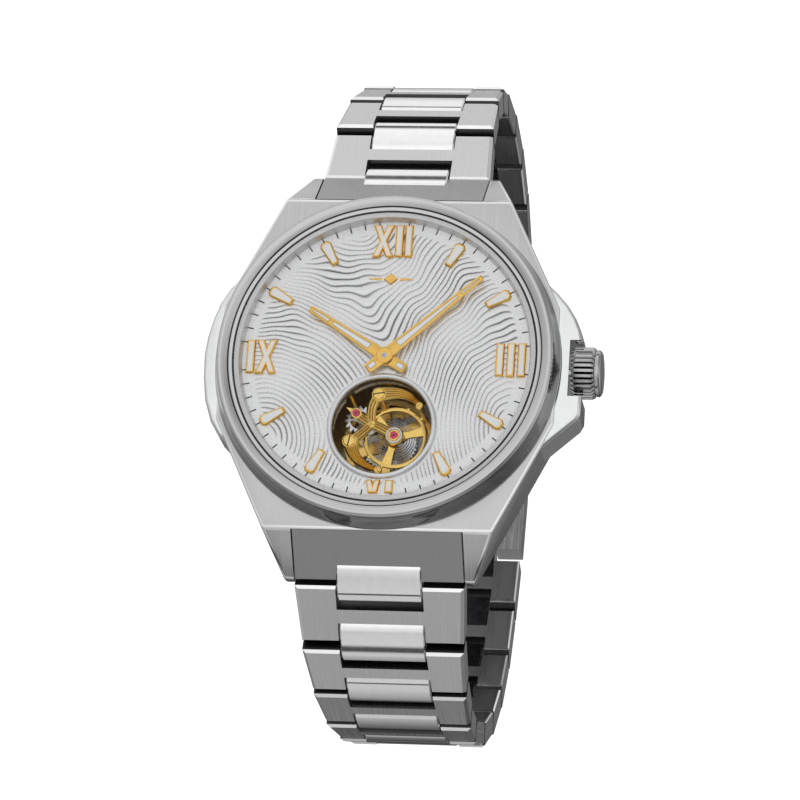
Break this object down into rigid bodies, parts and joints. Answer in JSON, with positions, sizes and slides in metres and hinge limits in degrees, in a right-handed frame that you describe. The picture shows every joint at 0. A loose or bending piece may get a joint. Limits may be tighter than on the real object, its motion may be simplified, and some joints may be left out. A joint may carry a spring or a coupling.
{
  "type": "wristwatch",
  "caption": "Round open-heart tourbillon wristwatch with applied hour markers, three-o'clock crown and an H-link steel bracelet closed in a loop.",
  "frame": {"origin": "centre of the caseback's outer flat face, on the axis of the hands", "axes": "+Z out of the dial towards the reader, +Y towards 12 o'clock, +X towards 3 o'clock and the crown"},
  "size_m": [0.0477, 0.0849, 0.0757],
  "materials": {
    "brushed_case": "brushed, with polished edges",
    "bracelet_steel": "brushed lengthwise, centre links polished",
    "polished_steel": "polished stainless steel",
    "sapphire": "clear, polished",
    "dark_ring": "dark grey, satin",
    "dial": "silver white, wave relief",
    "gold_hands": "gold plated, faceted",
    "gilt_brass": "gilt, fine brushed",
    "rhodium_brass": "rhodium plated, fine grained",
    "movement_steel": "fine ground"
  },
  "bodies": {
    "head": {"mid_case": "brushed_case", "bezel": "polished_steel", "crystal": "sapphire", "rehaut_ring": "dark_ring", "dial": "dial", "aperture_ring": "polished_steel", "caseback_ring": "brushed_case", "caseback_glass": "sapphire", "movement_ring": "movement_steel", "mainplate": "rhodium_brass", "train_bridge": "rhodium_brass", "fixed_wheel": "rhodium_brass", "end_link_12": "bracelet_steel", "end_link_6": "bracelet_steel"},
    "setting_lever": {"setting_lever": "movement_steel"},
    "crown": {"crown": "polished_steel", "winding_stem": "movement_steel"},
    "minute_hand": {"minute_hand": "gold_hands", "cannon_pinion": "movement_steel"},
    "hour_hand": {"hour_hand": "gold_hands", "hour_wheel": "gilt_brass"},
    "barrel": {"barrel": "gilt_brass"},
    "centre_wheel": {"centre_wheel": "gilt_brass"},
    "third_wheel": {"third_wheel": "gilt_brass"},
    "cage": {"cage_base": "gilt_brass", "cage_bridge": "gilt_brass"},
    "balance": {"balance_wheel": "gilt_brass", "hairspring": "movement_steel"},
    "escape_wheel": {"escape_wheel": "movement_steel"},
    "pallet_fork": {"pallet_fork": "movement_steel"},
    "link_12_01": {"link_12_01": "bracelet_steel"},
    "link_12_02": {"link_12_02": "bracelet_steel"},
    "link_12_03": {"link_12_03": "bracelet_steel"},
    "link_12_04": {"link_12_04": "bracelet_steel"},
    "link_12_05": {"link_12_05": "bracelet_steel"},
    "link_12_06": {"link_12_06": "bracelet_steel"},
    "link_12_07": {"link_12_07": "bracelet_steel"},
    "link_12_08": {"link_12_08": "bracelet_steel"},
    "link_12_09": {"link_12_09": "bracelet_steel"},
    "link_12_10": {"link_12_10": "bracelet_steel"},
    "link_6_01": {"link_6_01": "bracelet_steel"},
    "link_6_02": {"link_6_02": "bracelet_steel"},
    "link_6_03": {"link_6_03": "bracelet_steel"},
    "link_6_04": {"link_6_04": "bracelet_steel"},
    "link_6_05": {"link_6_05": "bracelet_steel"},
    "link_6_06": {"link_6_06": "bracelet_steel"},
    "link_6_07": {"link_6_07": "bracelet_steel"},
    "link_6_08": {"link_6_08": "bracelet_steel"},
    "link_6_09": {"link_6_09": "bracelet_steel"},
    "link_6_10": {"link_6_10": "bracelet_steel"},
    "clasp_cover": {"clasp_cover": "polished_steel"},
    "clasp_blade_outer": {"clasp_blade_outer": "movement_steel"},
    "clasp_blade_inner": {"clasp_blade_inner": "movement_steel"},
    "push_button_right": {"push_button_right": "polished_steel"},
    "push_button_left": {"push_button_left": "polished_steel"}
  },
  "joints": [
    {"name": "crown_pull", "type": "slide", "parent": "head", "child": "setting_lever", "axis": [1, 0, 0], "range_m": [0, 0.001]},
    {"name": "crown_turn", "type": "hinge", "parent": "setting_lever", "child": "crown", "pos_m": [0, 0, 0.00585], "axis": [1, 0, 0], "continuous": true},
    {"name": "minute_hand_turn", "type": "hinge", "parent": "head", "child": "minute_hand", "pos_m": [0, 0, 0.0102], "axis": [0, 0, -1], "continuous": true},
    {"name": "hour_hand_turn", "type": "hinge", "parent": "head", "child": "hour_hand", "pos_m": [0, 0, 0.0102], "axis": [0, 0, -1], "continuous": true},
    {"name": "cage_turn", "type": "hinge", "parent": "head", "child": "cage", "pos_m": [0.0001, -0.00845, 0.0065], "axis": [0, 0, -1], "continuous": true},
    {"name": "third_wheel_turn", "type": "hinge", "parent": "head", "child": "third_wheel", "pos_m": [-0.00415, -0.0042, 0.005], "axis": [0, 0, -1], "continuous": true},
    {"name": "centre_wheel_turn", "type": "hinge", "parent": "head", "child": "centre_wheel", "pos_m": [0, 0, 0.005], "axis": [0, 0, -1], "continuous": true},
    {"name": "barrel_turn", "type": "hinge", "parent": "head", "child": "barrel", "pos_m": [0.002, 0.00733, 0.005], "axis": [0, 0, -1], "continuous": true},
    {"name": "escape_wheel_turn", "type": "hinge", "parent": "cage", "child": "escape_wheel", "pos_m": [-0.00315, -0.00662, 0.0065], "axis": [0, 0, -1], "continuous": true},
    {"name": "balance_swing", "type": "hinge", "parent": "cage", "child": "balance", "pos_m": [0.00153, -0.00932, 0.0083], "axis": [0, 0, -1], "range_deg": [-270, 270], "stiffness_Nm_per_rad": 0.0000002},
    {"name": "pallet_fork_rock", "type": "hinge", "parent": "cage", "child": "pallet_fork", "pos_m": [-0.00072, -0.00802, 0.0066], "axis": [0, 0, -1], "range_deg": [-6, 6]},
    {"name": "link_12_01_hinge", "type": "hinge", "parent": "head", "child": "link_12_01", "pos_m": [0, 0.0262, 0.0014], "axis": [1, 0, 0], "range_deg": [0, 20]},
    {"name": "link_12_02_hinge", "type": "hinge", "parent": "link_12_01", "child": "link_12_02", "pos_m": [0, 0.03359, -0.00204], "axis": [1, 0, 0], "range_deg": [0, 25]},
    {"name": "link_12_03_hinge", "type": "hinge", "parent": "link_12_02", "child": "link_12_03", "pos_m": [0, 0.03925, -0.00791], "axis": [1, 0, 0], "range_deg": [0, 18]},
    {"name": "link_12_04_hinge", "type": "hinge", "parent": "link_12_03", "child": "link_12_04", "pos_m": [0, 0.04332, -0.01496], "axis": [1, 0, 0], "range_deg": [0, 18]},
    {"name": "link_12_05_hinge", "type": "hinge", "parent": "link_12_04", "child": "link_12_05", "pos_m": [0, 0.04557, -0.0228], "axis": [1, 0, 0], "range_deg": [0, 18]},
    {"name": "link_12_06_hinge", "type": "hinge", "parent": "link_12_05", "child": "link_12_06", "pos_m": [0, 0.04585, -0.03094], "axis": [1, 0, 0], "range_deg": [0, 17]},
    {"name": "link_12_07_hinge", "type": "hinge", "parent": "link_12_06", "child": "link_12_07", "pos_m": [0, 0.0443, -0.03895], "axis": [1, 0, 0], "range_deg": [0, 17]},
    {"name": "link_12_08_hinge", "type": "hinge", "parent": "link_12_07", "child": "link_12_08", "pos_m": [0, 0.04098, -0.04639], "axis": [1, 0, 0], "range_deg": [0, 19]},
    {"name": "link_12_09_hinge", "type": "hinge", "parent": "link_12_08", "child": "link_12_09", "pos_m": [0, 0.03585, -0.05272], "axis": [1, 0, 0], "range_deg": [0, 19]},
    {"name": "link_12_10_hinge", "type": "hinge", "parent": "link_12_09", "child": "link_12_10", "pos_m": [0, 0.02926, -0.05751], "axis": [1, 0, 0], "range_deg": [0, 18]},
    {"name": "link_6_01_hinge", "type": "hinge", "parent": "head", "child": "link_6_01", "pos_m": [0, -0.0262, 0.0014], "axis": [-1, 0, 0], "range_deg": [0, 33]},
    {"name": "link_6_02_hinge", "type": "hinge", "parent": "link_6_01", "child": "link_6_02", "pos_m": [0, -0.03165, -0.00466], "axis": [-1, 0, 0], "range_deg": [0, 25]},
    {"name": "link_6_03_hinge", "type": "hinge", "parent": "link_6_02", "child": "link_6_03", "pos_m": [0, -0.03457, -0.01226], "axis": [-1, 0, 0], "range_deg": [0, 16.5]},
    {"name": "link_6_04_hinge", "type": "hinge", "parent": "link_6_03", "child": "link_6_04", "pos_m": [0, -0.03578, -0.02033], "axis": [-1, 0, 0], "range_deg": [0, 17]},
    {"name": "link_6_05_hinge", "type": "hinge", "parent": "link_6_04", "child": "link_6_05", "pos_m": [0, -0.03514, -0.02845], "axis": [-1, 0, 0], "range_deg": [0, 13.5]},
    {"name": "link_6_06_hinge", "type": "hinge", "parent": "link_6_05", "child": "link_6_06", "pos_m": [0, -0.03317, -0.03636], "axis": [-1, 0, 0], "range_deg": [0, 16.5]},
    {"name": "link_6_07_hinge", "type": "hinge", "parent": "link_6_06", "child": "link_6_07", "pos_m": [0, -0.02953, -0.04365], "axis": [-1, 0, 0], "range_deg": [0, 18]},
    {"name": "link_6_08_hinge", "type": "hinge", "parent": "link_6_07", "child": "link_6_08", "pos_m": [0, -0.02424, -0.04985], "axis": [-1, 0, 0], "range_deg": [0, 17]},
    {"name": "link_6_09_hinge", "type": "hinge", "parent": "link_6_08", "child": "link_6_09", "pos_m": [0, -0.01769, -0.0547], "axis": [-1, 0, 0], "range_deg": [0, 16.8]},
    {"name": "link_6_10_hinge", "type": "hinge", "parent": "link_6_09", "child": "link_6_10", "pos_m": [0, -0.01022, -0.05797], "axis": [-1, 0, 0], "range_deg": [0, 9.1]},
    {"name": "clasp_cover_hinge", "type": "hinge", "parent": "link_12_10", "child": "clasp_cover", "pos_m": [0, 0.0217, -0.06057], "axis": [1, 0, 0], "range_deg": [0, 16]},
    {"name": "clasp_blade_outer_hinge", "type": "hinge", "parent": "clasp_cover", "child": "clasp_blade_outer", "pos_m": [0, 0.00042, -0.06073], "axis": [1, 0, 0], "range_deg": [0, 77]},
    {"name": "clasp_blade_inner_hinge", "type": "hinge", "parent": "clasp_blade_outer", "child": "clasp_blade_inner", "pos_m": [0, 0.01863, -0.05984], "axis": [-1, 0, 0], "range_deg": [0, 62]},
    {"name": "push_button_right_press", "type": "slide", "parent": "clasp_cover", "child": "push_button_right", "axis": [-1, 0, 0], "range_m": [0, 0.0006], "stiffness_N_per_m": 1500, "springref_m": -0.0004},
    {"name": "push_button_left_press", "type": "slide", "parent": "clasp_cover", "child": "push_button_left", "axis": [1, 0, 0], "range_m": [0, 0.0006], "stiffness_N_per_m": 1500, "springref_m": -0.0004}
  ],
  "couplings": [
    {"joint": "hour_hand_turn", "follows": "minute_hand_turn", "ratio": 0.083333},
    {"joint": "third_wheel_turn", "follows": "cage_turn", "ratio": -0.13333},
    {"joint": "centre_wheel_turn", "follows": "cage_turn", "ratio": 0.016667},
    {"joint": "barrel_turn", "follows": "cage_turn", "ratio": -0.002381},
    {"joint": "escape_wheel_turn", "follows": "cage_turn", "ratio": 7}
  ]
}
